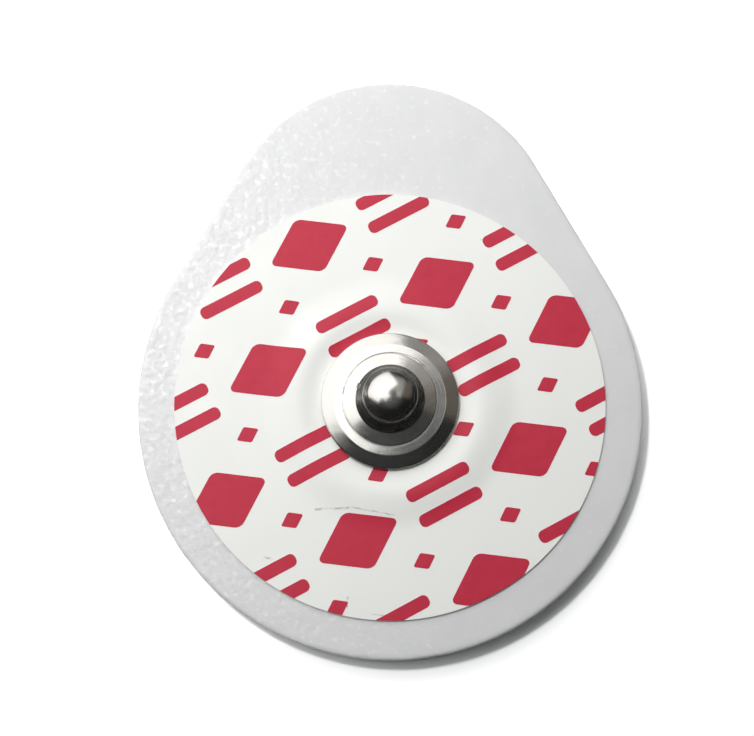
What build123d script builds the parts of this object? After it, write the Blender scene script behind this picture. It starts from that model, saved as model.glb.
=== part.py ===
from build123d import *
import math
import os

# A disposable snap electrode for electrocardiograms, as it leaves its pouch: a teardrop of white foam
# with an adhesive underside, a round printed film label, and a nickel-plated snap stud riveted through
# the label onto a silver / silver-chloride eyelet that sits in a well of hydrogel.
# Millimetres. +Z is up, and +Y runs towards the narrow lift end.
# The origin is on the snap's axis, on the face that the electrode lies on.

# Foam backing: a large circle about the snap and a small one at the lift end, joined by tangents
foam_width = 37.0
foam_length = 43.2
foam_nose_diameter = 25.2
foam_thickness = 1.6
foam_edge_bevel = 0.2
well_diameter = 19.0

# Release liner and skin adhesive below the foam
liner_thickness = 0.10
adhesive_thickness = 0.06
lift_tab_length = 6.0

# Hydrogel in the well
gel_side_clearance = 0.05

# Film label, lifted by the gel into a low ring and drawn in again where the snap clamps it
label_diameter = 31.4
label_thickness = 0.12
label_ridge_diameter = 13.5
label_ridge_rise = 0.30
label_seat_diameter = 10.5
label_seat_rise = 0.10
label_hole_clearance = 0.05

# Print: rows of lozenges and paired bars on a slant, with small pips between the rows. The print runs
# off the label's edge and under the stud, as a printed web does that is cut to size afterwards.
ink_thickness = 0.03
print_slant_degrees = 28.0
print_repeat = 14.0
print_row_pitch = 7.0
print_start_x = 0.6
print_start_y = -0.6
lozenge_length = 6.6
lozenge_width = 4.6
bar_length = 5.0
bar_width = 0.95
bar_spacing = 2.0
pip_length = 1.8
pip_width = 1.3

# Sensor eyelet: a moulded flange under the label and a post that is riveted inside the stud
eyelet_flange_diameter = 9.6
eyelet_flange_thickness = 0.60
eyelet_bevel_width = 0.50
eyelet_bevel_height = 0.20
post_diameter = 2.9
rivet_lock = 0.12
rivet_head_height = 0.60
rivet_head_bevel = 0.25

# Snap stud, drawn from one disc of sheet. Its heights are above the plane of its rim.
stud_sheet = 0.20
stud_flange_diameter = 10.0
stud_rim_height = 0.30
stud_rim_bevel = 0.18
stud_boss_diameter = 5.04
stud_boss_height = 1.15
stud_neck_diameter = 3.44
stud_neck_height = 1.76
stud_neck_land = 0.34
stud_head_diameter = 3.95
stud_head_undercut_height = 0.25
stud_head_undercut_bevel = 0.145
stud_head_land_top = 2.87
stud_shoulder_draft = 0.065
stud_shoulder_width = 0.35
stud_shoulder_slope_degrees = 38
stud_shoulder_bevel = 0.06
stud_crown_radius = 2.80
stud_height = 3.98
ledge_outer_diameter = 8.10
ledge_outer_height = 0.70
ledge_inner_diameter = 6.84
ledge_rise = 0.06
ledge_step = 0.08

# Levels and places that follow from the sizes above
nose_centre = foam_length - foam_width / 2 - foam_nose_diameter / 2
nose_tip = foam_length - foam_width / 2
foam_bottom = liner_thickness + adhesive_thickness
foam_top = foam_bottom + foam_thickness
label_bottom_at_snap = foam_top + label_seat_rise
stud_base = label_bottom_at_snap + label_thickness + ink_thickness
label_hole_radius = post_diameter / 2 + label_hole_clearance
rivet_head_radius = stud_neck_diameter / 2 - stud_sheet + rivet_lock
rivet_head_bottom = stud_base + stud_neck_height + stud_neck_land + stud_head_undercut_height


def teardrop():
    """Fill the die's outline, which the foam, the adhesive and the liner share."""
    Circle(foam_width / 2)
    with Locations((0, nose_centre)):
        Circle(foam_nose_diameter / 2)
    make_hull()


def under_relief(rise, mode=Mode.ADD):
    """Fill the half section below the label's underside lifted by rise, down to the foam's underside."""
    with BuildLine() as outline:
        Polyline(
            (label_diameter / 2, foam_bottom),
            (label_diameter / 2, foam_top + rise),
            (well_diameter / 2, foam_top + rise),
            (label_ridge_diameter / 2, foam_top + label_ridge_rise + rise),
            (label_seat_diameter / 2, label_bottom_at_snap + rise),
            (0, label_bottom_at_snap + rise),
            (0, foam_bottom),
            close=True,
        )
    make_face(outline.edges(), mode=mode)


def label_section(low, high):
    """Fill the half section of a skin that follows the label, between two heights above its underside."""
    under_relief(high)
    under_relief(low, mode=Mode.SUBTRACT)
    with Locations((0, foam_bottom)):
        Rectangle(label_hole_radius, stud_base, align=(Align.MIN, Align.MIN), mode=Mode.SUBTRACT)


def diamond(length, width):
    """Fill a diamond of the print, long way along its row."""
    Polygon((length / 2, 0), (0, width / 2), (-length / 2, 0), (0, -width / 2))


# Release liner: clear film, cut with the foam
with BuildPart() as release_liner:
    with BuildSketch():
        teardrop()
    extrude(amount=liner_thickness)
release_liner.part.label = "release_liner"

# Skin adhesive: a coat on the foam's underside that leaves the well and the lift end bare
with BuildPart() as skin_adhesive:
    with BuildSketch(Plane.XY.offset(liner_thickness)):
        teardrop()
        Circle(well_diameter / 2, mode=Mode.SUBTRACT)
        with Locations((0, nose_tip)):
            Rectangle(foam_width, 2 * lift_tab_length, mode=Mode.SUBTRACT)
    extrude(amount=adhesive_thickness)
skin_adhesive.part.label = "skin_adhesive"

# Foam backing: closed-cell polyethylene, its top edge pressed down by the die and its well punched through
with BuildPart() as foam_pad:
    with BuildSketch(Plane.XY.offset(foam_bottom)):
        teardrop()
    extrude(amount=foam_thickness)
    rim_edges = foam_pad.faces().sort_by(Axis.Z)[-1].edges()
    chamfer(rim_edges, length=foam_edge_bevel)
    with Locations((0, 0, foam_top)):
        Hole(radius=well_diameter / 2)
foam_pad.part.label = "foam_pad"

# Sensor eyelet: a bevelled flange against the label, and a post upset inside the stud's head
with BuildPart() as sensor_eyelet:
    flange_radius = eyelet_flange_diameter / 2
    flange_bottom = label_bottom_at_snap - eyelet_flange_thickness
    with BuildSketch(Plane.XZ):
        with BuildLine():
            Polyline(
                (0, flange_bottom),
                (flange_radius - eyelet_bevel_width, flange_bottom),
                (flange_radius, flange_bottom + eyelet_bevel_height),
                (flange_radius, label_bottom_at_snap),
                (post_diameter / 2, label_bottom_at_snap),
                (post_diameter / 2, rivet_head_bottom),
                (rivet_head_radius, rivet_head_bottom),
                (rivet_head_radius, rivet_head_bottom + rivet_head_height - rivet_head_bevel),
                (rivet_head_radius - rivet_head_bevel, rivet_head_bottom + rivet_head_height),
                (0, rivet_head_bottom + rivet_head_height),
                close=True,
            )
        make_face()
    revolve(axis=Axis.Z)
sensor_eyelet.part.label = "sensor_eyelet"

# Hydrogel: fills the well up to the label and closes round the eyelet's flange
with BuildPart() as gel_pad:
    with BuildSketch(Plane.XZ):
        under_relief(0)
        with Locations((0, liner_thickness)):
            Rectangle(label_diameter / 2, adhesive_thickness, align=(Align.MIN, Align.MIN))
            Rectangle(
                well_diameter / 2 - gel_side_clearance,
                stud_base,
                align=(Align.MIN, Align.MIN),
                mode=Mode.INTERSECT,
            )
    revolve(axis=Axis.Z)
    add(sensor_eyelet.part, mode=Mode.SUBTRACT)
gel_pad.part.label = "gel_pad"

# Label: a disc of white film that lies on the foam and rides over the gel
with BuildPart() as label:
    with BuildSketch(Plane.XZ):
        label_section(0, label_thickness)
    revolve(axis=Axis.Z)
label.part.label = "label"

# Print: one thin coat of ink that follows the film, kept only where a motif covers it
with BuildPart() as label_print:
    with BuildSketch(Plane.XZ):
        label_section(label_thickness, label_thickness + ink_thickness)
    revolve(axis=Axis.Z)
    columns = 2 * math.ceil(label_diameter / 2 / print_repeat) + 1
    rows = 2 * math.ceil(label_diameter / 4 / print_row_pitch) + 1
    web = Location((print_start_x, print_start_y, 0), (0, 0, print_slant_degrees))
    with BuildSketch(Plane.XY.offset(foam_top)):
        with Locations(web):
            with Locations((0, 0), (print_repeat / 2, print_row_pitch)):
                with GridLocations(print_repeat, 2 * print_row_pitch, columns, rows):
                    diamond(lozenge_length, lozenge_width)
            with Locations((print_repeat / 2, 0), (0, print_row_pitch)):
                with GridLocations(print_repeat, 2 * print_row_pitch, columns, rows):
                    with GridLocations(0, bar_spacing, 1, 2):
                        Rectangle(bar_length, bar_width)
            with GridLocations(print_repeat / 2, print_row_pitch, 2 * columns, 2 * rows):
                diamond(pip_length, pip_width)
    extrude(amount=stud_base, mode=Mode.INTERSECT)
label_print.part.label = "label_print"

# Snap stud: the outer skin is drawn once, from the rim to the crown, and the sheet lies inside it
with BuildPart() as snap_stud:
    head_radius = stud_head_diameter / 2
    neck_radius = stud_neck_diameter / 2
    rim_radius = stud_flange_diameter / 2
    boss_radius = stud_boss_diameter / 2
    neck_top = stud_neck_height + stud_neck_land
    # Head: a shallow crown, a sloped shoulder and a side that is nearly upright
    crown_edge = head_radius - stud_shoulder_draft - stud_shoulder_width
    crown_tilt = math.asin(crown_edge / stud_crown_radius)
    crown_centre = stud_height - stud_crown_radius
    crown_corner = (crown_edge, crown_centre + stud_crown_radius * math.cos(crown_tilt))
    shoulder_drop = stud_shoulder_width * math.tan(math.radians(stud_shoulder_slope_degrees))
    shoulder_corner = (head_radius - stud_shoulder_draft, crown_corner[1] - shoulder_drop)
    # Flange: a fine step and a nearly level ledge are coined into its slope
    ledge_inner = ledge_inner_diameter / 2
    ledge_inner_height = ledge_outer_height + ledge_rise
    rim_corner = (rim_radius, stud_rim_height)
    undercut_corner = (head_radius, neck_top + stud_head_undercut_height)
    with BuildSketch(Plane((0, 0, stud_base), x_dir=(1, 0, 0), z_dir=(0, -1, 0))) as sheet:
        with BuildLine():
            Polyline(
                (rim_radius, 0),
                rim_corner,
                (ledge_outer_diameter / 2, ledge_outer_height),
                (ledge_inner, ledge_inner_height),
                (ledge_inner, ledge_inner_height + ledge_step),
                (boss_radius, stud_boss_height),
                (neck_radius, stud_neck_height),
                (neck_radius, neck_top),
                undercut_corner,
                (head_radius, stud_head_land_top),
                shoulder_corner,
                crown_corner,
            )
            CenterArc(
                (0, crown_centre),
                stud_crown_radius,
                start_angle=90 - math.degrees(crown_tilt),
                arc_size=math.degrees(crown_tilt),
            )
            offset(amount=stud_sheet, side=Side.LEFT, kind=Kind.INTERSECTION)
        make_face()
        chamfer(sheet.vertices().sort_by_distance(rim_corner)[0], length=stud_rim_bevel)
        chamfer(sheet.vertices().sort_by_distance(undercut_corner)[0], length=stud_head_undercut_bevel)
        chamfer(sheet.vertices().sort_by_distance(shoulder_corner)[0], length=stud_shoulder_bevel)
    revolve(axis=Axis.Z)
snap_stud.part.label = "snap_stud"

os.makedirs("parts", exist_ok=True)
for piece in (
    release_liner,
    skin_adhesive,
    foam_pad,
    sensor_eyelet,
    gel_pad,
    label,
    label_print,
    snap_stud,
):
    export_step(piece.part, f"parts/{piece.part.label}.step")
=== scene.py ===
# %% [markdown]
# # A snap electrode for electrocardiograms
# A teardrop of white foam lies on a pale table. A round printed film label sits in its middle, and
# through the label stands a bright metal snap stud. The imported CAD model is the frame: it gives each
# piece its place and size, and this lesson gives each piece its looks. All lengths are in metres, so
# millimetres are multiplied by MM.

import math

import bpy
from mathutils import Matrix, Vector


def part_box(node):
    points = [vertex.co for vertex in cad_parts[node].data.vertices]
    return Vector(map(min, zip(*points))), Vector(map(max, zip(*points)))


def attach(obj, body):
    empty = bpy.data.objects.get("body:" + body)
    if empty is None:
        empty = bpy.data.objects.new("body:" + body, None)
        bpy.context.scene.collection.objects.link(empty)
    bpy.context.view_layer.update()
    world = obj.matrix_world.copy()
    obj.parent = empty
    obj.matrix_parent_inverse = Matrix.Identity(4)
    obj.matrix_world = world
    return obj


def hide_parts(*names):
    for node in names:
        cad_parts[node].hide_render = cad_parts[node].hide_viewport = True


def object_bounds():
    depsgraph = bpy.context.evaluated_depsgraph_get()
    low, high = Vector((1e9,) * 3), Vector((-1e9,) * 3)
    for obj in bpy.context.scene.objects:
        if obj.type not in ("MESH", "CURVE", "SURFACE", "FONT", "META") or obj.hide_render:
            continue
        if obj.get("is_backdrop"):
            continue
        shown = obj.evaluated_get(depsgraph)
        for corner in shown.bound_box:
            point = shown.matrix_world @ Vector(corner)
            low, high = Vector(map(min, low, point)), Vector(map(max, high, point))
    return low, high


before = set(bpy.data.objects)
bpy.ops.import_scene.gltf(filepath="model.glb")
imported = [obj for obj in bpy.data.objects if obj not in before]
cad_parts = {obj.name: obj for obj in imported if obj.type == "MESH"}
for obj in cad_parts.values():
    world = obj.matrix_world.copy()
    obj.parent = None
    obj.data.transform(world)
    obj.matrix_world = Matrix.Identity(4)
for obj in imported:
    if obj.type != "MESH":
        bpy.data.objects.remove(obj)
cad_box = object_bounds()
MM = 0.001
print("nodes:", sorted(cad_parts))

# %% [markdown]
# ## Sizes
# The sizes below are those of the CAD part, written once here. The levels that the pieces share come
# from the frame's boxes, so that each piece sits where the CAD says. Heights are above the table.

# %% Sizes that the pieces share
foam_radius = 18.5 * MM
nose_radius = 12.6 * MM
nose_centre = 12.1 * MM
well_radius = 9.5 * MM
label_radius = 15.7 * MM
label_hole_radius = 1.5 * MM
film_thickness = 0.12 * MM
ridge_radius = 6.75 * MM
ridge_rise = 0.30 * MM
seat_radius = 5.25 * MM
seat_rise = 0.10 * MM
eyelet_radius = 4.8 * MM

liner_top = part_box("release_liner")[1].z
foam_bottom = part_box("foam_pad")[0].z
foam_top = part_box("foam_pad")[1].z
stud_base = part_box("snap_stud")[0].z
eyelet_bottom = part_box("sensor_eyelet")[0].z
print(f"liner to {liner_top / MM:.2f}, foam {foam_bottom / MM:.2f} to {foam_top / MM:.2f} mm")
print(f"eyelet from {eyelet_bottom / MM:.2f}, stud from {stud_base / MM:.2f} mm")

# %% [markdown]
# ## Tools for shaping
# An operator acts on all that is selected, so every step here first clears the selection and then
# picks one piece. A finished piece keeps its place in its mesh and its origin at the frame's origin,
# because its patterns are read from there.

# %% Select and finish pieces
def deselect_all():
    """Leave edit mode and clear the selection."""
    if bpy.context.object and bpy.context.object.mode != "OBJECT":
        bpy.ops.object.mode_set(mode="OBJECT")
    bpy.ops.object.select_all(action="DESELECT")


def pick(piece):
    """Select one piece alone and make it the active one."""
    deselect_all()
    piece.select_set(True)
    bpy.context.view_layer.objects.active = piece


def finish_piece(piece, name, angle=30):
    """Name the piece, put its place into its mesh and smooth its faces up to an angle in degrees."""
    pick(piece)
    piece.name = name
    piece.data.name = name
    bpy.ops.object.transform_apply(location=True, rotation=True, scale=True)
    bpy.ops.object.shade_smooth_by_angle(angle=math.radians(angle))
    size = [round(d / MM, 2) for d in piece.dimensions]
    print(f"{name}: {len(piece.data.polygons)} faces, size {size} mm")


def apply_modifier(piece, kind, **settings):
    """Add a modifier to the piece with its settings and apply it."""
    pick(piece)
    modifier = piece.modifiers.new(kind.lower(), kind)
    for key, value in settings.items():
        setattr(modifier, key, value)
    bpy.ops.object.modifier_apply(modifier=modifier.name)


def limit_share(value):
    """Keep a share between 0 and 1."""
    return min(max(value, 0), 1)


# %% [markdown]
# The label, the gel and the stud are turned shapes. Such a shape is drawn as a half section and spun
# about the snap's axis, as a lathe or a drawing press makes round parts. A cylinder that is scaled
# ring by ring would do too, but a section can be compared line by line with the CAD part's.

# %% Draw a half section and spin it
def round_corners(corners, steps=6):
    """Return the points of a section, given as (radius, height, corner radius), with round corners."""
    points = []
    for index, (x, z, corner_radius) in enumerate(corners):
        here = Vector((x, z))
        if corner_radius == 0 or index in (0, len(corners) - 1):
            points.append(here)
            continue
        back = (Vector(corners[index - 1][:2]) - here).normalized()
        ahead = (Vector(corners[index + 1][:2]) - here).normalized()
        half = back.angle(ahead) / 2
        reach = corner_radius / math.tan(half)
        middle = here + (back + ahead).normalized() * (corner_radius / math.sin(half))
        start = here + back * reach - middle
        end = here + ahead * reach - middle
        turn = start.angle_signed(end)
        for step in range(steps + 1):
            angle = -turn * step / steps
            points.append(middle + Vector((
                start.x * math.cos(angle) - start.y * math.sin(angle),
                start.x * math.sin(angle) + start.y * math.cos(angle),
            )))
    return [(point.x, point.y) for point in points]


def spin_section(section, steps=192):
    """Draw a half section point by point and spin it once about the upright axis."""
    deselect_all()
    bpy.ops.mesh.primitive_plane_add(size=MM)
    bpy.ops.object.mode_set(mode="EDIT")
    bpy.ops.mesh.select_mode(type="VERT")
    bpy.ops.mesh.select_all(action="SELECT")
    bpy.ops.mesh.merge(type="CENTER")
    bpy.ops.transform.translate(value=(section[0][0], 0, section[0][1]))
    for (x, z), (next_x, next_z) in zip(section, section[1:]):
        move = (next_x - x, 0, next_z - z)
        bpy.ops.mesh.extrude_region_move(TRANSFORM_OT_translate={"value": move})
    bpy.ops.mesh.select_all(action="SELECT")
    bpy.ops.mesh.spin(steps=steps, angle=math.tau, center=(0, 0, 0), axis=(0, 0, 1))
    bpy.ops.mesh.select_all(action="SELECT")
    bpy.ops.mesh.remove_doubles(threshold=MM / 1000)
    bpy.ops.mesh.normals_make_consistent(inside=False)
    bpy.ops.object.mode_set(mode="OBJECT")
    return bpy.context.object


# %% [markdown]
# The liner, the adhesive and the foam are cut by one die. Their blank is the hull of two discs, which
# gives the teardrop its straight flanks without drawing them. The well is a drill's work.

# %% Cut a blank to the teardrop
def cut_teardrop(bottom, top, sides=360):
    """Make a teardrop blank between two heights, as the hull of two discs."""
    deselect_all()
    middle = (bottom + top) / 2
    bpy.ops.mesh.primitive_cylinder_add(
        vertices=sides, radius=foam_radius, depth=top - bottom, location=(0, 0, middle)
    )
    blank = bpy.context.object
    bpy.ops.object.transform_apply(location=True)
    bpy.ops.object.mode_set(mode="EDIT")
    bpy.ops.mesh.primitive_cylinder_add(
        vertices=sides, radius=nose_radius, depth=top - bottom, location=(0, nose_centre, middle)
    )
    bpy.ops.mesh.select_all(action="SELECT")
    bpy.ops.mesh.convex_hull()
    bpy.ops.mesh.select_all(action="SELECT")
    bpy.ops.mesh.dissolve_limited(angle_limit=math.radians(0.2))
    bpy.ops.object.mode_set(mode="OBJECT")
    return blank


def drill(piece, radius, low, high, sides=256):
    """Cut a round hole about the snap's axis through the piece, between two heights."""
    deselect_all()
    bpy.ops.mesh.primitive_cylinder_add(
        vertices=sides, radius=radius, depth=high - low, location=(0, 0, (low + high) / 2)
    )
    drill_bit = bpy.context.object
    apply_modifier(piece, "BOOLEAN", operation="DIFFERENCE", object=drill_bit, solver="EXACT")
    bpy.data.objects.remove(drill_bit)


# %% Put a piece into the frame
def place(piece, slot, *nodes, body="root"):
    """Let a piece ride on its body and stand for its CAD nodes. The slot is not used."""
    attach(piece, body)
    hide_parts(*nodes)


# %% [markdown]
# ## Tools for finishes
# Each material starts from Blender's Principled shader. Colours are written as hex values, as a paint
# shop or a screen gives them, and turned to the linear numbers that the shader needs. A pattern's
# scale is worked out from a real size in millimetres, because Object coordinates are in metres.

# %% Colours, scales and nodes
def linear(code):
    """Turn a hex colour such as #C8325A into linear red, green, blue and an alpha of one."""
    shares = [int(code[i:i + 2], 16) / 255 for i in (1, 3, 5)]
    return [s / 12.92 if s <= 0.04045 else ((s + 0.055) / 1.055) ** 2.4 for s in shares] + [1.0]


def scale_for(size_mm):
    """Give the pattern scale whose features are about so many millimetres across."""
    return 1 / (size_mm * MM)


def add_node(tree, kind, inputs=None, **settings):
    """Add a node with its own settings, and set or link its inputs."""
    node = tree.nodes.new(kind)
    for key, value in settings.items():
        setattr(node, key, value)
    for key, value in (inputs or {}).items():
        if isinstance(value, bpy.types.NodeSocket):
            tree.links.new(value, node.inputs[key])
        else:
            node.inputs[key].default_value = value
    return node


def start_material(name, **surface):
    """Start a material with plain values on its shader, and give its nodes, shader and place."""
    material = bpy.data.materials.new(name)
    material.use_nodes = True
    tree = material.node_tree
    shader = tree.nodes["Principled BSDF"]
    for key, value in surface.items():
        shader.inputs[key.replace("_", " ").title().replace("Ior", "IOR")].default_value = value
    place_on_piece = add_node(tree, "ShaderNodeTexCoord").outputs["Object"]
    return material, tree, shader, place_on_piece


def dress(piece, material):
    """Give a piece one material all over."""
    piece.data.materials.clear()
    piece.data.materials.append(material)
    print(f"{piece.name} has the finish {material.name}")


# %% [markdown]
# ## Camera
# The photograph looks down from a little in front of the electrode, from about ten centimetres away,
# so the near edge looks a touch larger than the far one. The camera's tilt, distance and lens were
# worked out from the label's outline, the stud's flange and the ball's centre.

# %% Camera
camera_tilt = math.radians(10.65)
camera_distance = 100 * MM
camera_target = Vector((-0.94 * MM, 2.48 * MM, foam_top + film_thickness))
photo_width = 754
focal_pixels = 1367

deselect_all()
camera_offset = Vector((0, -math.sin(camera_tilt), math.cos(camera_tilt))) * camera_distance
bpy.ops.object.camera_add(location=camera_target + camera_offset, rotation=(camera_tilt, 0, 0))
camera = bpy.context.object
camera.data.lens = focal_pixels / photo_width * camera.data.sensor_width
camera.data.clip_start = 1 * MM
bpy.context.scene.camera = camera
print(f"lens {camera.data.lens:.1f} mm, tilt {math.degrees(camera_tilt):.1f} degrees")

# %% [markdown]
# ## Light
# Metal shows its lamps and paper shows their sum, so the two are lit apart. A wide softbox hangs close
# over the upper left. It makes the white highlight on the ball and on half the flange, and being
# close, it lets the light fall off across the electrode. A small key lamp behind it gives the shadow
# its crisp edge. A fill panel over the far right evens the label, and is kept out of the metal.
#
# The four cards are only for the metal: it mirrors them, and they light nothing else. One near the
# zenith puts a white streak on the flange's ledge, two on the right give its greys, and a small window
# gives a fainter patch. One lamp alone would do for the foam, but it would leave the stud black.

# %% Lamps and cards
def hang_lamp(name, position, width, depth, radiance, tint="#FFFFFF", edge=(1, 0, 0)):
    """Hang a flat lamp of even radiance that faces the electrode. Its width runs as nearly along the
    edge's direction as it can."""
    deselect_all()
    bpy.ops.object.light_add(type="AREA", location=position)
    lamp = bpy.context.object
    lamp.name = name
    lamp.data.shape = "RECTANGLE"
    lamp.data.size = width
    lamp.data.size_y = depth
    lamp.data.color = linear(tint)[:3]
    lamp.data.energy = radiance * math.pi * width * depth
    back = Vector(position).normalized()
    side = (Vector(edge) - back * back.dot(Vector(edge))).normalized()
    lamp.rotation_euler = Matrix((side, back.cross(side), back)).transposed().to_euler()
    lamp.visible_camera = False
    print(f"{name}: {lamp.data.energy:.4f} W")
    return lamp


hang_lamp(
    "softbox", (-43 * MM, 46 * MM, 74 * MM), 166 * MM, 107 * MM, 1.5, edge=(-0.732, -0.685, 0)
)
hang_lamp("key_lamp", (-68 * MM, 66 * MM, 182 * MM), 18 * MM, 18 * MM, 139.0)
fill_panel = hang_lamp("fill_panel", (25 * MM, 85 * MM, 75 * MM), 90 * MM, 60 * MM, 1.2)
fill_panel.visible_glossy = False

corner_card = hang_lamp(
    "corner_card", (-19 * MM, -5 * MM, 100 * MM), 36 * MM, 24 * MM, 1.4, edge=(0.73, 0.68, 0)
)
side_card = hang_lamp("side_card", (38 * MM, 62 * MM, 84 * MM), 70 * MM, 90 * MM, 0.24)
warm_card = hang_lamp(
    "warm_card", (70 * MM, 40 * MM, 75 * MM), 90 * MM, 90 * MM, 0.13, tint="#FFF0E0"
)
window = hang_lamp("window", (62 * MM, 10 * MM, 135 * MM), 34 * MM, 40 * MM, 0.4)
for card in (corner_card, side_card, warm_card, window):
    card.visible_diffuse = False

# %% [markdown]
# ## Table
# The table is white paper, a hair below the liner so that the two faces don't fight. It bounces 85 per
# cent of its light. The camera, the metal and the clear film see it brighter than that, so it reads
# as a white page while the electrode's shadow stays on it. Far from the electrode, where the lamps no
# longer reach, it fades to plain white for the camera alone. More lamps would whiten it too, but they
# would also bleach the electrode. The two plain shaders for this take the Principled one's place.

# %% Table
table_width = 4
table_drop = 0.02 * MM
deselect_all()
bpy.ops.mesh.primitive_plane_add(size=table_width, location=(0, 0, -table_drop))
table = bpy.context.object
table.name = "table"
table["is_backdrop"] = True

# %% Table paper
bounced_share = 0.85
page_white = 1.75
shadow_reach = 30 * MM
far_page = 70 * MM
paper, tree, shader, place_on_piece = start_material("bleached_wood_free_paper")
rays = add_node(tree, "ShaderNodeLightPath")
seen_or_mirrored = add_node(
    tree, "ShaderNodeMath",
    {0: rays.outputs["Is Camera Ray"], 1: rays.outputs["Is Glossy Ray"]}, operation="MAXIMUM",
)
seen = add_node(
    tree, "ShaderNodeMath",
    {0: seen_or_mirrored.outputs["Value"], 1: rays.outputs["Is Transmission Ray"]},
    operation="MAXIMUM",
)
brightness = add_node(
    tree, "ShaderNodeMapRange",
    {"Value": seen.outputs["Value"], "To Min": bounced_share, "To Max": page_white}, clamp=False,
)
page = add_node(tree, "ShaderNodeBsdfDiffuse", {"Color": brightness.outputs["Result"]})
from_snap = add_node(tree, "ShaderNodeVectorMath", {0: place_on_piece}, operation="LENGTH")
farness = add_node(
    tree, "ShaderNodeMapRange",
    {"Value": from_snap.outputs["Value"], "From Min": shadow_reach, "From Max": far_page},
    interpolation_type="SMOOTHSTEP",
)
far_and_seen = add_node(
    tree, "ShaderNodeMath",
    {0: farness.outputs["Result"], 1: rays.outputs["Is Camera Ray"]}, operation="MULTIPLY",
)
backdrop = add_node(tree, "ShaderNodeEmission", {"Strength": 1.0})
whole_page = add_node(
    tree, "ShaderNodeMixShader",
    {0: far_and_seen.outputs["Value"], 1: page.outputs["BSDF"], 2: backdrop.outputs["Emission"]},
)
tree.links.new(whole_page.outputs["Shader"], tree.nodes["Material Output"].inputs["Surface"])
dress(table, paper)

# %% [markdown]
# ## Room
# The stud's dark parts show a dim room, a little lighter and cooler towards its ceiling. The world is
# that room to everything but the camera, which sees it white, so that the page has no end.

# %% Room
room_dark = 0.01
ceiling_light = 0.12
world = bpy.data.worlds.new("room")
bpy.context.scene.world = world
world.use_nodes = True
tree = world.node_tree
direction = add_node(tree, "ShaderNodeTexCoord").outputs["Generated"]
height = add_node(tree, "ShaderNodeSeparateXYZ", {"Vector": direction}).outputs["Z"]
ceiling = add_node(
    tree, "ShaderNodeMapRange",
    {"Value": height, "From Min": 0.70, "From Max": 1.0, "To Min": room_dark, "To Max": ceiling_light},
    interpolation_type="SMOOTHSTEP",
)
rays = add_node(tree, "ShaderNodeLightPath")
strength = add_node(
    tree, "ShaderNodeMix",
    {"Factor": rays.outputs["Is Camera Ray"], "A": ceiling.outputs["Result"], "B": 1.0},
    data_type="FLOAT",
)
tree.links.new(strength.outputs["Result"], tree.nodes["Background"].inputs["Strength"])
tint = add_node(
    tree, "ShaderNodeMix",
    {"Factor": rays.outputs["Is Camera Ray"], "A": linear("#F0F8FA"), "B": linear("#FFFFFF")},
    data_type="RGBA",
)
tree.links.new(tint.outputs["Result"], tree.nodes["Background"].inputs["Color"])
bpy.context.scene.view_settings.view_transform = "Standard"
print(f"room from {room_dark} at its walls to {ceiling_light} at its ceiling")

# %% [markdown]
# ## Release liner
# The liner keeps the adhesive and the gel clean until use. It is a clear film, cut with the foam by
# the same die. A plane with thickness would do, but the hull blank at 0.10 mm gives it the foam's own
# outline, and a bevel the hair-fine rounding that a die leaves on a film's edge.

# %% Shape the liner
liner_clearance = 0.004 * MM
liner = cut_teardrop(0, liner_top - liner_clearance)
apply_modifier(
    liner, "BEVEL", width=0.02 * MM, segments=2, limit_method="ANGLE",
    angle_limit=math.radians(60),
)
finish_piece(liner, "liner_sheet")
place(liner, "liner_film", "release_liner")

# %% [markdown]
# Polyester film with a silicone coat is clear, glossy and very slightly rippled by the drying of its
# coat. The eye gets a thin bright line at its edge and a broken gloss from below.

# %% Siliconised polyester film
ripple_mm = 6
liner_film, tree, shader, place_on_piece = start_material(
    "siliconised_polyester_film", base_color=linear("#F4F7F8"), roughness=0.12, ior=1.5,
    transmission_weight=1.0,
)
ripple = add_node(
    tree, "ShaderNodeTexNoise",
    {"Vector": place_on_piece, "Scale": scale_for(ripple_mm), "Detail": 2.0},
)
bump = add_node(
    tree, "ShaderNodeBump", {"Height": ripple.outputs["Fac"], "Distance": 0.02 * MM, "Strength": 0.5}
)
tree.links.new(bump.outputs["Normal"], shader.inputs["Normal"])
dress(liner, liner_film)

# %% [markdown]
# ## Skin adhesive
# A thin coat of adhesive covers the foam's underside. It leaves the well bare, and the narrow end too,
# so that a finger can lift the liner there. It could be a face of the foam with its own material, but
# as a coat of its own it shows its edge at the bare end.

# %% Shape the adhesive
adhesive = cut_teardrop(liner_top, foam_bottom)
drill(adhesive, well_radius, 0, foam_top)
pick(adhesive)
bare_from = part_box("skin_adhesive")[1].y
bpy.ops.object.mode_set(mode="EDIT")
bpy.ops.mesh.select_all(action="SELECT")
bpy.ops.mesh.bisect(
    plane_co=(0, bare_from, 0), plane_no=(0, 1, 0), use_fill=True, clear_outer=True
)
bpy.ops.object.mode_set(mode="OBJECT")
finish_piece(adhesive, "adhesive_coat")
place(adhesive, "skin_adhesive", "skin_adhesive")

# %% [markdown]
# Acrylic adhesive is a soft, faintly yellow coat. It wets the liner in patches round small trapped
# bubbles, so from below its gloss comes and goes over about a millimetre.

# %% Acrylic adhesive
bubble_mm = 0.9
acrylic, tree, shader, place_on_piece = start_material(
    "pressure_sensitive_acrylic", base_color=linear("#F1EFE6"), roughness=0.25, ior=1.47,
    coat_weight=0.3,
)
bubbles = add_node(
    tree, "ShaderNodeTexVoronoi", {"Vector": place_on_piece, "Scale": scale_for(bubble_mm)}
)
wetting = add_node(
    tree, "ShaderNodeMapRange",
    {
        "Value": bubbles.outputs["Distance"], "From Min": 0.1, "From Max": 0.5,
        "To Min": 0.45, "To Max": 0.2,
    },
)
tree.links.new(wetting.outputs["Result"], shader.inputs["Roughness"])
dress(adhesive, acrylic)

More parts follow.
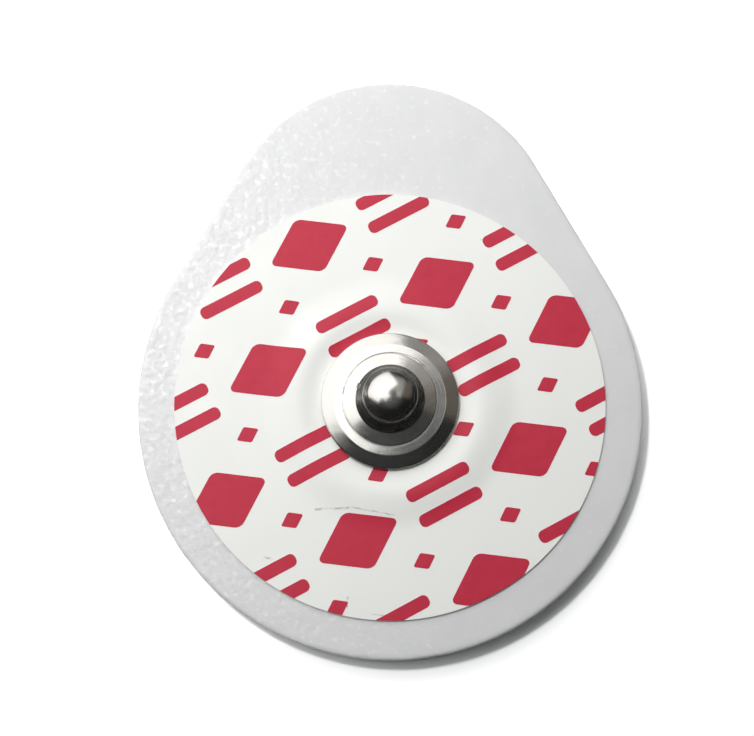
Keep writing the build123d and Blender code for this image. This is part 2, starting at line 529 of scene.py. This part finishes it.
# %% [markdown]
# ## Foam backing
# The backing is a sheet of closed-cell foam, cut by a die. It is flat and firm, so it needs no cloth
# simulation. A block with bump alone would look like plastic, because its outline would stay smooth.
# So the blank is remeshed into small even faces, and two displacements press the cells and a soft
# unevenness into it. The cells are deeper on the left, where the sheet was rolled.

# %% Cut the foam and punch its well
rounded_edge = 0.22 * MM
foam_voxel = 0.17 * MM
foam = cut_teardrop(foam_bottom, foam_top)
pick(foam)
bpy.ops.object.mode_set(mode="EDIT")
bpy.ops.mesh.select_all(action="DESELECT")
bpy.ops.object.mode_set(mode="OBJECT")
for edge in foam.data.edges:
    heights = [foam.data.vertices[v].co.z for v in edge.vertices]
    edge.select = min(heights) > foam_top - MM / 100
bpy.ops.object.mode_set(mode="EDIT")
bpy.ops.mesh.select_mode(type="EDGE")
bpy.ops.mesh.bevel(offset=rounded_edge, segments=4, affect="EDGES")
bpy.ops.object.mode_set(mode="OBJECT")
drill(foam, well_radius, 0, 2 * foam_top)
apply_modifier(foam, "REMESH", mode="VOXEL", voxel_size=foam_voxel, adaptivity=0)
print("foam after remesh:", len(foam.data.polygons), "faces")

# %% Press the cells into the foam
cell_size = 0.55 * MM
cell_depth = 0.05 * MM
uneven_size = 1.6 * MM
uneven_depth = 0.06 * MM
press_height = 0.5 * MM
slant = 0.3
least_crumple = 0.35
added_crumple = 0.65

crumple = foam.vertex_groups.new(name="crumple")
for vertex in foam.data.vertices:
    up = limit_share((vertex.co.z - foam_bottom) / press_height)
    leftness = 0.5 - 0.5 * (vertex.co.x - slant * vertex.co.y) / foam_radius
    weight = up * (least_crumple + added_crumple * limit_share(leftness))
    crumple.add([vertex.index], weight, "REPLACE")

cells = bpy.data.textures.new("blown_cells", "VORONOI")
cells.noise_scale = cell_size
cells.weight_1 = -1
cells.weight_2 = 1
unevenness = bpy.data.textures.new("sheet_unevenness", "CLOUDS")
unevenness.noise_scale = uneven_size
unevenness.noise_depth = 2
for pattern, depth in ((cells, cell_depth), (unevenness, uneven_depth)):
    apply_modifier(
        foam, "DISPLACE", texture=pattern, texture_coords="LOCAL", strength=depth, mid_level=1.0,
        vertex_group="crumple",
    )
finish_piece(foam, "foam_backing", angle=180)
place(foam, "foam", "foam_pad")

# %% [markdown]
# Blown polyethylene foam scatters light just under its surface, which softens its edges. Its cut cells
# leave walls too fine for the mesh, and collapsed skins that lie flat and are glossier. The skins are
# also painted paler than the foam, a painted glint. Both patterns are read from a crumpled place, a
# noise that shifts the coordinates by a quarter of a millimetre, because even cells would look printed.
# Both fade to the right, as the cells do, so the painted glints are fewer away from the light.

# %% Blown polyethylene foam
crumpling_mm = 0.5
crumple_shift = (0.25 * MM, 0.25 * MM, 0.25 * MM)
wall_mm = 0.38
wall_height = 0.045 * MM
fleck_mm = 0.45
mottle_mm = 2.4
foam_finish, tree, shader, place_on_piece = start_material(
    "blown_polyethylene_foam", base_color=linear("#E2E2E2"), roughness=0.42, ior=1.5,
    subsurface_weight=0.5, subsurface_scale=0.4 * MM,
)
shader.inputs["Subsurface Radius"].default_value = (1, 1, 1)
across = add_node(tree, "ShaderNodeSeparateXYZ", {"Vector": place_on_piece}).outputs["X"]
crumpling = add_node(
    tree, "ShaderNodeTexNoise",
    {"Vector": place_on_piece, "Scale": scale_for(crumpling_mm), "Detail": 2.0},
)
crumpled_place = add_node(
    tree, "ShaderNodeVectorMath",
    {0: crumpling.outputs["Color"], 1: crumple_shift, 2: place_on_piece},
    operation="MULTIPLY_ADD",
)

# %% Cell walls of the foam
walls = add_node(
    tree, "ShaderNodeTexVoronoi",
    {"Vector": crumpled_place.outputs["Vector"], "Scale": scale_for(wall_mm)}, feature="SMOOTH_F1",
)
rolled = add_node(
    tree, "ShaderNodeMapRange",
    {
        "Value": across, "From Min": -0.6 * foam_radius, "From Max": 0.6 * foam_radius,
        "To Min": 1.0, "To Max": 0.3,
    },
)
crumple_height = add_node(
    tree, "ShaderNodeMath", {0: walls.outputs["Distance"], 1: rolled.outputs["Result"]},
    operation="MULTIPLY",
)
bump = add_node(
    tree, "ShaderNodeBump",
    {"Height": crumple_height.outputs["Value"], "Distance": wall_height, "Strength": 0.7},
)
tree.links.new(bump.outputs["Normal"], shader.inputs["Normal"])

# %% Glossy skins with painted glints, and mottle of the foam
fleck_noise = add_node(
    tree, "ShaderNodeTexNoise",
    {"Vector": crumpled_place.outputs["Vector"], "Scale": scale_for(fleck_mm), "Detail": 2.0},
)
threshold = add_node(
    tree, "ShaderNodeMapRange",
    {
        "Value": across, "From Min": -0.5 * foam_radius, "From Max": 0.5 * foam_radius,
        "To Min": 0.53, "To Max": 0.66,
    },
)
above = add_node(
    tree, "ShaderNodeMath", {0: fleck_noise.outputs["Fac"], 1: threshold.outputs["Result"]},
    operation="SUBTRACT",
)
# Painted glints: where the noise rises over the threshold, the skins are glossier and painted paler.
skins_and_painted_glints = add_node(
    tree, "ShaderNodeMapRange", {"Value": above.outputs["Value"], "From Max": 0.13, "To Max": 0.75}
)
mottle = add_node(
    tree, "ShaderNodeTexNoise",
    {"Vector": place_on_piece, "Scale": scale_for(mottle_mm), "Detail": 3.0},
)
ground = add_node(
    tree, "ShaderNodeMix",
    {"Factor": mottle.outputs["Fac"], "A": linear("#E1E1E2"), "B": linear("#EAEAE9")},
    data_type="RGBA",
)
# The foam's colour is mixed with the painted glints of the skins.
foam_colour = add_node(
    tree, "ShaderNodeMix",
    {"Factor": skins_and_painted_glints.outputs["Result"], "A": ground.outputs["Result"], "B": linear("#F4F4F4")},
    data_type="RGBA",
)
tree.links.new(foam_colour.outputs["Result"], shader.inputs["Base Color"])
skins = add_node(
    tree, "ShaderNodeMapRange", {"Value": skins_and_painted_glints.outputs["Result"], "To Min": 0.42, "To Max": 0.25}
)
tree.links.new(skins.outputs["Result"], shader.inputs["Roughness"])
dress(foam, foam_finish)

# %% [markdown]
# ## Label film
# The label is a disc of white film. It lies flat on the foam, rises over the gel in a low ring and dips
# again where the stud clamps it. A flat disc would need cloth to find that shape, and the CAD gives it
# already. The section is sampled along the radius, so that the spun skin has enough rings for a faint
# waviness, which thin film never loses.

# %% Shape the label
def relief(radius):
    """Give the height of the label's underside above the foam at a radius."""
    if radius <= seat_radius:
        return seat_rise
    if radius <= ridge_radius:
        share = (radius - seat_radius) / (ridge_radius - seat_radius)
        return seat_rise + (ridge_rise - seat_rise) * share * share * (3 - 2 * share)
    share = max((well_radius - radius) / (well_radius - ridge_radius), 0)
    return ridge_rise * share * share * (3 - 2 * share)


def film_section(low, high, inner, outer, ring=0.3 * MM):
    """Give the closed half section of a skin between two heights above the label's underside."""
    count = round((outer - inner) / ring)
    radii = [inner + (outer - inner) * i / count for i in range(count + 1)]
    under = [(r, foam_top + relief(r) + low) for r in radii]
    over = [(r, foam_top + relief(r) + high) for r in reversed(radii)]
    return under + over + under[:1]


wave_length = 5 * MM
wave_height = 0.05 * MM
clamp_fade = 2 * MM
waviness = bpy.data.textures.new("film_waviness", "CLOUDS")
waviness.noise_scale = wave_length
waviness.noise_depth = 1


def make_wavy(piece):
    """Lift and lower a film a little where the snap doesn't clamp it."""
    free = piece.vertex_groups.new(name="free")
    for vertex in piece.data.vertices:
        radius = math.hypot(vertex.co.x, vertex.co.y)
        free.add([vertex.index], limit_share((radius - seat_radius) / clamp_fade), "REPLACE")
    apply_modifier(
        piece, "DISPLACE", texture=waviness, texture_coords="LOCAL", strength=wave_height,
        mid_level=0.4, direction="Z", vertex_group="free",
    )


label = spin_section(film_section(0, film_thickness, label_hole_radius, label_radius), steps=256)
make_wavy(label)
finish_piece(label, "label_disc")
place(label, "label_film", "label")

# %% [markdown]
# White polyethylene film has a satin face, faintly green against the foam. Handling polishes it in
# places, so its gloss drifts over a few millimetres, and that keeps it from looking like card.

# %% White film
handling_mm = 3
film_white = linear("#FAFBF6")
film, tree, shader, place_on_piece = start_material(
    "white_polyethylene_film", base_color=film_white, roughness=0.5, ior=1.5
)
handling = add_node(
    tree, "ShaderNodeTexNoise",
    {"Vector": place_on_piece, "Scale": scale_for(handling_mm), "Detail": 4.0},
)
sheen = add_node(
    tree, "ShaderNodeMapRange",
    {
        "Value": handling.outputs["Fac"], "From Min": 0.35, "From Max": 0.65,
        "To Min": 0.44, "To Max": 0.58,
    },
)
tree.links.new(sheen.outputs["Result"], shader.inputs["Roughness"])

# %% [markdown]
# A few thin grey strokes mark the film. A stroke is the strip near a line between two points. It could
# be painted on an image, but this reads no image. The line trembles with one noise and breaks up with a
# finer one, so that each stroke is uneven and broken.

# %% Distance from a line
def near_line(tree, flat_place, start, end, reach):
    """Give 1 on the line between two points of the label, in millimetres, and 0 past a reach."""
    start = Vector((*start, 0)) * MM
    run = Vector((*end, 0)) * MM - start
    from_start = add_node(
        tree, "ShaderNodeVectorMath", {0: flat_place, 1: start}, operation="SUBTRACT"
    ).outputs["Vector"]
    along = add_node(
        tree, "ShaderNodeVectorMath", {0: from_start, 1: run.normalized()},
        operation="DOT_PRODUCT",
    ).outputs["Value"]
    held = add_node(tree, "ShaderNodeClamp", {"Value": along, "Max": run.length}).outputs["Result"]
    foot = add_node(
        tree, "ShaderNodeVectorMath", {0: run.normalized(), "Scale": held}, operation="SCALE"
    ).outputs["Vector"]
    gap = add_node(
        tree, "ShaderNodeVectorMath", {0: from_start, 1: foot}, operation="DISTANCE"
    ).outputs["Value"]
    near = add_node(
        tree, "ShaderNodeMapRange",
        {"Value": gap, "From Max": reach * MM, "To Min": 1.0, "To Max": 0.0},
    )
    return near.outputs["Result"]


# %% Grey strokes on the film
# Each row is a start, an end and a reach, in millimetres from the snap.
grey_strokes = (
    ((-5.2, -7.7), (-2.6, -7.6), 0.11),
    ((-2.6, -7.6), (0.4, -8.1), 0.08),
    ((-8.8, -11.1), (-8.1, -11.4), 0.12),
    ((-2.9, -13.9), (-2.9, -14.6), 0.11),
    ((-1.1, -15.1), (0.1, -15.3), 0.08),
    ((6.9, 12.4), (7.6, 12.1), 0.07),
)
tremble_mm = 1.1
skip_mm = 0.45
flat_place = add_node(
    tree, "ShaderNodeVectorMath", {0: place_on_piece, 1: (1, 1, 0)}, operation="MULTIPLY"
).outputs["Vector"]
tremble = add_node(
    tree, "ShaderNodeTexNoise",
    {"Vector": flat_place, "Scale": scale_for(tremble_mm), "Detail": 2.0},
)
shaken_place = add_node(
    tree, "ShaderNodeVectorMath",
    {0: tremble.outputs["Color"], 1: (0.3 * MM, 0.3 * MM, 0), 2: flat_place},
    operation="MULTIPLY_ADD",
).outputs["Vector"]
on_grey_stroke = near_line(tree, shaken_place, *grey_strokes[0])
for grey_stroke in grey_strokes[1:]:
    line = near_line(tree, shaken_place, *grey_stroke)
    on_grey_stroke = add_node(
        tree, "ShaderNodeMath", {0: on_grey_stroke, 1: line}, operation="MAXIMUM"
    ).outputs["Value"]
skips = add_node(
    tree, "ShaderNodeTexNoise", {"Vector": flat_place, "Scale": scale_for(skip_mm), "Detail": 2.0}
)
patchy = add_node(
    tree, "ShaderNodeMapRange",
    {"Value": skips.outputs["Fac"], "From Min": 0.36, "From Max": 0.62, "To Max": 0.6},
)
grey_stroke_share = add_node(
    tree, "ShaderNodeMath", {0: on_grey_stroke, 1: patchy.outputs["Result"]}, operation="MULTIPLY"
)
# Thin grey strokes are mixed into the film's colour along the lines.
film_colour = add_node(
    tree, "ShaderNodeMix",
    {"Factor": grey_stroke_share.outputs["Value"], "A": film_white, "B": linear("#6F7672")}, data_type="RGBA",
)
tree.links.new(film_colour.outputs["Result"], shader.inputs["Base Color"])
dress(label, film)
print(len(grey_strokes), "grey_strokes")

# %% [markdown]
# ## Print
# The print is a web of lozenges, paired bars and pips on a slant, cut off wherever the label ends. It
# could be a colour in the film's material, but ink is a piece of its own here. So each motif is
# modelled once as a small punch and copied, and the punches cut a thin coat of ink that follows the
# film, which keeps every motif on the film's relief.

# %% Model the three motifs
punch_height = 4 * MM


def make_punch(length, width, corner, sides):
    """Make one upright punch with rounded edges, a lozenge with four sides or a bar with none."""
    deselect_all()
    if sides == 4:
        bpy.ops.mesh.primitive_cylinder_add(vertices=4, radius=0.5, depth=punch_height)
        bpy.context.object.scale = (length, width, 1)
    else:
        bpy.ops.mesh.primitive_cube_add(size=1)
        bpy.context.object.scale = (length, width, punch_height)
    punch = bpy.context.object
    bpy.ops.object.transform_apply(scale=True)
    bpy.ops.object.mode_set(mode="EDIT")
    bpy.ops.mesh.select_mode(type="EDGE")
    bpy.ops.mesh.select_all(action="SELECT")
    bpy.ops.mesh.bevel(offset=corner, segments=5, affect="EDGES")
    bpy.ops.object.mode_set(mode="OBJECT")
    return punch


lozenge = make_punch(6.6 * MM, 4.6 * MM, 0.5 * MM, 4)
bar = make_punch(5.0 * MM, 0.95 * MM, 0.4 * MM, 0)
pip = make_punch(1.8 * MM, 1.3 * MM, 0.15 * MM, 4)
print("faces on lozenge, bar and pip:", [len(m.data.polygons) for m in (lozenge, bar, pip)])

# %% Copy the motifs over the web
web_turn = math.radians(28)
web_start = Vector((0.6 * MM, -0.6 * MM))
repeat = 14 * MM
row_pitch = 7 * MM
bar_offset = 1 * MM
motif_reach = 3.3 * MM
rows = range(-4, 5)
punches = []


def copy_punch(motif, x, y):
    """Copy a motif to a place on the slanted web, if it touches the label."""
    spot = Vector((x, y))
    spot.rotate(Matrix.Rotation(web_turn, 2))
    spot += web_start
    if spot.length > label_radius + motif_reach:
        return
    copy = motif.copy()
    copy.data = motif.data.copy()
    copy.location = (spot.x, spot.y, foam_top)
    copy.rotation_euler = (0, 0, web_turn)
    bpy.context.collection.objects.link(copy)
    punches.append(copy)


for row in rows:
    for column in range(-3, 4):
        shift = repeat / 2 if row % 2 else 0
        copy_punch(lozenge, column * repeat + shift, row * row_pitch)
        for offset in (-bar_offset, bar_offset):
            copy_punch(bar, column * repeat + shift + repeat / 2, row * row_pitch + offset)
for row in rows:
    for column in range(-5, 6):
        copy_punch(pip, (column + 0.5) * repeat / 2, (row + 0.5) * row_pitch)
for motif in (lozenge, bar, pip):
    bpy.data.objects.remove(motif)
deselect_all()
for punch in punches:
    punch.select_set(True)
bpy.context.view_layer.objects.active = punches[0]
bpy.ops.object.join()
punch_set = bpy.context.object
print(len(punches), "motifs near the label")

# %% Cut the ink coat
ink_low = -0.003 * MM
ink_high = 0.015 * MM
ink = spin_section(
    film_section(
        film_thickness + ink_low, film_thickness + ink_high, label_hole_radius, label_radius
    ),
    steps=256,
)
make_wavy(ink)
apply_modifier(ink, "BOOLEAN", operation="INTERSECT", object=punch_set, solver="EXACT")
bpy.data.objects.remove(punch_set)
finish_piece(ink, "label_motifs")
place(ink, "crimson_ink", "label_print")

# %% [markdown]
# Flexographic ink is pressed on by a rubber plate. It dries flat and duller than the film, and a
# little uneven in strength where the plate took more or less ink. The eye sees a soft mottle.

# %% Crimson ink
ink_mottle_mm = 0.8
crimson, tree, shader, place_on_piece = start_material(
    "flexographic_ink", base_color=linear("#C62440"), roughness=0.6, ior=1.45
)
mottle = add_node(
    tree, "ShaderNodeTexNoise",
    {"Vector": place_on_piece, "Scale": scale_for(ink_mottle_mm), "Detail": 3.0},
)
lay = add_node(
    tree, "ShaderNodeMix",
    {"Factor": mottle.outputs["Fac"], "A": linear("#C11E3B"), "B": linear("#CE2A47")},
    data_type="RGBA",
)
tree.links.new(lay.outputs["Result"], shader.inputs["Base Color"])
dress(ink, crimson)

# %% [markdown]
# ## Gel
# The hydrogel is poured into the foam's well and sets there, so it takes the shape of all that it
# touches. It is spun from a section whose foot lies on the liner and whose top follows the label, with
# a hair of room on each side, rather than cut by booleans, which would leave paper-thin slivers.

# %% Shape the gel
gel_radius = 9.45 * MM
gel_gap = 0.01 * MM
gel_edge = film_section(-gel_gap, 0, eyelet_radius + gel_gap, gel_radius)
gel_crown = list(reversed(gel_edge[:len(gel_edge) // 2]))
gel_foot = round_corners([
    (0, liner_top + gel_gap / 2, 0),
    (gel_radius, liner_top + gel_gap / 2, 0.12 * MM),
    (gel_radius, foam_top, 0),
])
gel_seat = [(eyelet_radius + gel_gap, eyelet_bottom - gel_gap), (0, eyelet_bottom - gel_gap)]
gel = spin_section(gel_foot[:-1] + gel_crown + gel_seat)
finish_piece(gel, "gel_fill")
place(gel, "hydrogel", "gel_pad")

# %% [markdown]
# Cured hydrogel is mostly water: clear, a little blue, and with a lower IOR than any plastic. Faint
# clouding from its curing breaks the light that passes through. It shows only from below.

# %% Hydrogel
cloud_mm = 1.2
hydrogel, tree, shader, place_on_piece = start_material(
    "cured_hydrogel", base_color=linear("#DDEEF2"), roughness=0.15, ior=1.38,
    transmission_weight=0.85,
)
clouding = add_node(
    tree, "ShaderNodeTexNoise",
    {"Vector": place_on_piece, "Scale": scale_for(cloud_mm), "Detail": 3.0},
)
cloud = add_node(
    tree, "ShaderNodeMapRange",
    {
        "Value": clouding.outputs["Fac"], "From Min": 0.4, "From Max": 0.7,
        "To Min": 0.1, "To Max": 0.3,
    },
)
tree.links.new(cloud.outputs["Result"], shader.inputs["Roughness"])
dress(gel, hydrogel)

# %% [markdown]
# ## Sensor eyelet
# The eyelet is moulded plastic with a thin coat of silver, whose surface is turned to silver chloride.
# That gives a dull warm grey with a faint mottle. Its CAD shape is right and it hides between the gel
# and the label, so it stays as it is and only gets this finish.

# %% Silver chloride coat
grain_mm = 0.4
coat, tree, shader, place_on_piece = start_material(
    "silver_chloride_coat", base_color=linear("#A9A6A2"), roughness=0.6, metallic=0.35
)
mottle = add_node(
    tree, "ShaderNodeTexNoise",
    {"Vector": place_on_piece, "Scale": scale_for(grain_mm), "Detail": 4.0},
)
tone = add_node(
    tree, "ShaderNodeMix",
    {"Factor": mottle.outputs["Fac"], "A": linear("#9A9793"), "B": linear("#B8B5B0")},
    data_type="RGBA",
)
tree.links.new(tone.outputs["Result"], shader.inputs["Base Color"])
dress(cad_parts["sensor_eyelet"], coat)

# %% [markdown]
# ## Snap stud
# The stud is drawn from one disc of nickel-plated brass. Its section runs from the crown over the ball,
# in to the neck, down the cone to a fine groove and a nearly level ledge, out to the rim, and back
# along the inside of the sheet. It could be stacked from spheres and cylinders, but the small radii at
# its bends matter more than anything else here, because each one catches its own thin line of light.

# %% Section of the stud, as radius and height above the rim
crown_height = 3.98 * MM
crown_radius = 2.80 * MM
crown_edge = 1.56 * MM
crown_steps = 15
shoulder_edge = 1.93 * MM
shoulder_slope = math.radians(38)
head_radius = 1.975 * MM
ledge_height = 0.756 * MM

crown_centre = crown_height - crown_radius
crown_tilt = math.asin(crown_edge / crown_radius)
crown = []
for i in range(crown_steps):
    tilt = crown_tilt * i / crown_steps
    crown.append((crown_radius * math.sin(tilt), crown_centre + crown_radius * math.cos(tilt)))
crown_end = crown_centre + crown_radius * math.cos(crown_tilt)
shoulder_end = crown_end - (shoulder_edge - crown_edge) * math.tan(shoulder_slope)
print(f"crown ends at {crown_end / MM:.3f}, shoulder at {shoulder_end / MM:.3f} mm above the rim")

skin = round_corners([
    crown[-1] + (0,),
    (crown_edge, crown_end, 0.30 * MM),
    (shoulder_edge, shoulder_end, 0.02 * MM),
    (head_radius, 2.87 * MM, 0.20 * MM),
    (head_radius, 2.35 * MM, 0.30 * MM),
    (1.72 * MM, 2.10 * MM, 0.10 * MM),
    (1.72 * MM, 1.76 * MM, 0.12 * MM),
    (2.50 * MM, 1.15 * MM, 0.10 * MM),
    (3.38 * MM, 0.857 * MM, 0.02 * MM),
    (3.40 * MM, 0.650 * MM, 0),
    (3.45 * MM, 0.650 * MM, 0),
    (3.47 * MM, ledge_height, 0.02 * MM),
    (4.05 * MM, 0.700 * MM, 0.30 * MM),
    (5.00 * MM, 0.320 * MM, 0.05 * MM),
    (4.94 * MM, 0.00 * MM, 0),
])
lining = [
    (4.80 * MM, 0.00 * MM),
    (4.80 * MM, 0.18 * MM),
    (4.00 * MM, 0.50 * MM),
    (3.22 * MM, 0.57 * MM),
    (3.22 * MM, 0.69 * MM),
    (2.42 * MM, 0.97 * MM),
    (1.52 * MM, 1.66 * MM),
    (1.52 * MM, 2.18 * MM),
    (1.775 * MM, 2.43 * MM),
    (1.775 * MM, 2.87 * MM),
    (1.42 * MM, 3.34 * MM),
    (0.80 * MM, 3.65 * MM),
    (0.00 * MM, 3.78 * MM),
]


# %% Spin the stud
def divide(section, longest):
    """Divide the runs of a section so that none is longer than a length."""
    points = [section[0]]
    for (x, z), (next_x, next_z) in zip(section, section[1:]):
        count = max(1, math.ceil(math.hypot(next_x - x, next_z - z) / longest))
        for i in range(1, count + 1):
            points.append((x + (next_x - x) * i / count, z + (next_z - z) * i / count))
    return points


longest_run = 0.10 * MM
outside = divide(crown + skin[1:], longest_run)
section = [(x, stud_base + z) for x, z in outside + lining]
stud = spin_section(section, steps=256)
print(len(section), "points in the section,", len(stud.data.polygons), "faces on the stud")

# %% [markdown]
# ## Marks of the press
# No drawn sheet is quite even. The groove beside the ledge is sharp only from the left to the top, and
# closes elsewhere, where the tool bore less. The whole sheet gets an unevenness of a few thousandths
# of a millimetre, which bends its highlights, and the cone a nick near the neck. A bump in the material
# could fake all three, but they are real shapes, so they are moves of the mesh.

# %% Close the groove where the tool bore less
groove_inner = 3.36 * MM
groove_outer = 3.48 * MM
ledge_level = stud_base + ledge_height
sharp_bearing = 128
sharp_half = 45
sharp_fade = 30
groove = [
    vertex for vertex in stud.data.vertices
    if groove_inner < math.hypot(vertex.co.x, vertex.co.y) < groove_outer
    and vertex.co.z < ledge_level
]
for vertex in groove:
    bearing = math.degrees(math.atan2(vertex.co.y, vertex.co.x))
    away = abs((bearing - sharp_bearing + 180) % 360 - 180)
    closed = limit_share((away - sharp_half) / sharp_fade)
    vertex.co.z += closed * (ledge_level - vertex.co.z)
print(len(groove), "points in the groove")

# %% Make the stud uneven and nick it
uneven_from = 0.2 * MM
uneven_fade = 2 * MM
sheet_uneven_size = 1.1 * MM
sheet_uneven_depth = 0.016 * MM
drawn = stud.vertex_groups.new(name="drawn")
for vertex in stud.data.vertices:
    radius = math.hypot(vertex.co.x, vertex.co.y)
    drawn.add([vertex.index], limit_share((radius - uneven_from) / uneven_fade), "REPLACE")
unevenness_of_sheet = bpy.data.textures.new("drawn_sheet", "CLOUDS")
unevenness_of_sheet.noise_scale = sheet_uneven_size
unevenness_of_sheet.noise_depth = 1
unevenness_of_sheet.noise_basis = "IMPROVED_PERLIN"
apply_modifier(
    stud, "DISPLACE", texture=unevenness_of_sheet, texture_coords="LOCAL",
    strength=sheet_uneven_depth, mid_level=0.5, direction="Z", vertex_group="drawn",
)
nick_place = Vector((-2.32 * MM, 0.97 * MM, stud_base + 1.14 * MM))
nick_reach = 0.28 * MM
nick_depth = 0.05 * MM
for vertex in stud.data.vertices:
    near = 1 - (vertex.co - nick_place).length / nick_reach
    if near > 0:
        vertex.co.z -= nick_depth * near * near * (3 - 2 * near)
finish_piece(stud, "stud_shell", angle=35)
place(stud, "nickel", "snap_stud")

# %% [markdown]
# Bright nickel is a warm pale grey mirror with a slight haze. The press leaves fine draw marks that run
# round the axis, so the noise for them is read from the direction about the axis and the distance from
# it, stretched along the round. The real marks are finer. They are drawn about 0.07 mm apart so that
# they still show, and are what frays the ends of the highlights. In the nick the colour is painted dark
# brown, a painted shade in the dent.

# %% Bright nickel plate
draw_mark_mm = 0.07
along_round = 2.2
nickel_grey = linear("#D6D3CE")
nickel, tree, shader, place_on_piece = start_material(
    "bright_nickel_plate", base_color=nickel_grey, roughness=0.2, metallic=1.0
)
flat_place = add_node(
    tree, "ShaderNodeVectorMath", {0: place_on_piece, 1: (1, 1, 0)}, operation="MULTIPLY"
).outputs["Vector"]
distance = add_node(tree, "ShaderNodeVectorMath", {0: flat_place}, operation="LENGTH")
direction_round = add_node(tree, "ShaderNodeVectorMath", {0: flat_place}, operation="NORMALIZE")
place_round = add_node(
    tree, "ShaderNodeVectorMath", {0: direction_round.outputs["Vector"], "Scale": along_round},
    operation="SCALE",
)
ring = add_node(
    tree, "ShaderNodeMath", {0: distance.outputs["Value"], 1: scale_for(draw_mark_mm)},
    operation="MULTIPLY",
)
ring = add_node(tree, "ShaderNodeCombineXYZ", {"Z": ring.outputs["Value"]})
mark_place = add_node(
    tree, "ShaderNodeVectorMath", {0: place_round.outputs["Vector"], 1: ring.outputs["Vector"]},
    operation="ADD",
)
draw_marks = add_node(
    tree, "ShaderNodeTexNoise",
    {"Vector": mark_place.outputs["Vector"], "Scale": 1.0, "Detail": 3.0},
)
haze = add_node(
    tree, "ShaderNodeMapRange",
    {
        "Value": draw_marks.outputs["Fac"], "From Min": 0.3, "From Max": 0.7,
        "To Min": 0.17, "To Max": 0.25,
    },
)
tree.links.new(haze.outputs["Result"], shader.inputs["Roughness"])
bump = add_node(
    tree, "ShaderNodeBump",
    {"Height": draw_marks.outputs["Fac"], "Distance": 0.004 * MM, "Strength": 0.5},
)
tree.links.new(bump.outputs["Normal"], shader.inputs["Normal"])

# %% Painted shade in the nick
from_nick = add_node(
    tree, "ShaderNodeVectorMath", {0: place_on_piece, 1: nick_place}, operation="DISTANCE"
)
nick_shade = add_node(
    tree, "ShaderNodeMapRange",
    {
        "Value": from_nick.outputs["Value"], "From Min": 0.06 * MM, "From Max": nick_reach,
        "To Min": 1.0, "To Max": 0.0,
    },
)
# Painted shade: the plate's colour darkens towards the middle of the nick.
plate_colour = add_node(
    tree, "ShaderNodeMix",
    {"Factor": nick_shade.outputs["Result"], "A": nickel_grey, "B": linear("#4A443C")},
    data_type="RGBA",
)
tree.links.new(plate_colour.outputs["Result"], shader.inputs["Base Color"])
dress(stud, nickel)

# %% Write the sizes and finish
dressed_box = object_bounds()
for name, (low, high) in (("cad", cad_box), ("dressed", dressed_box)):
    print(name, [round(v / MM, 2) for v in low], [round(v / MM, 2) for v in high])
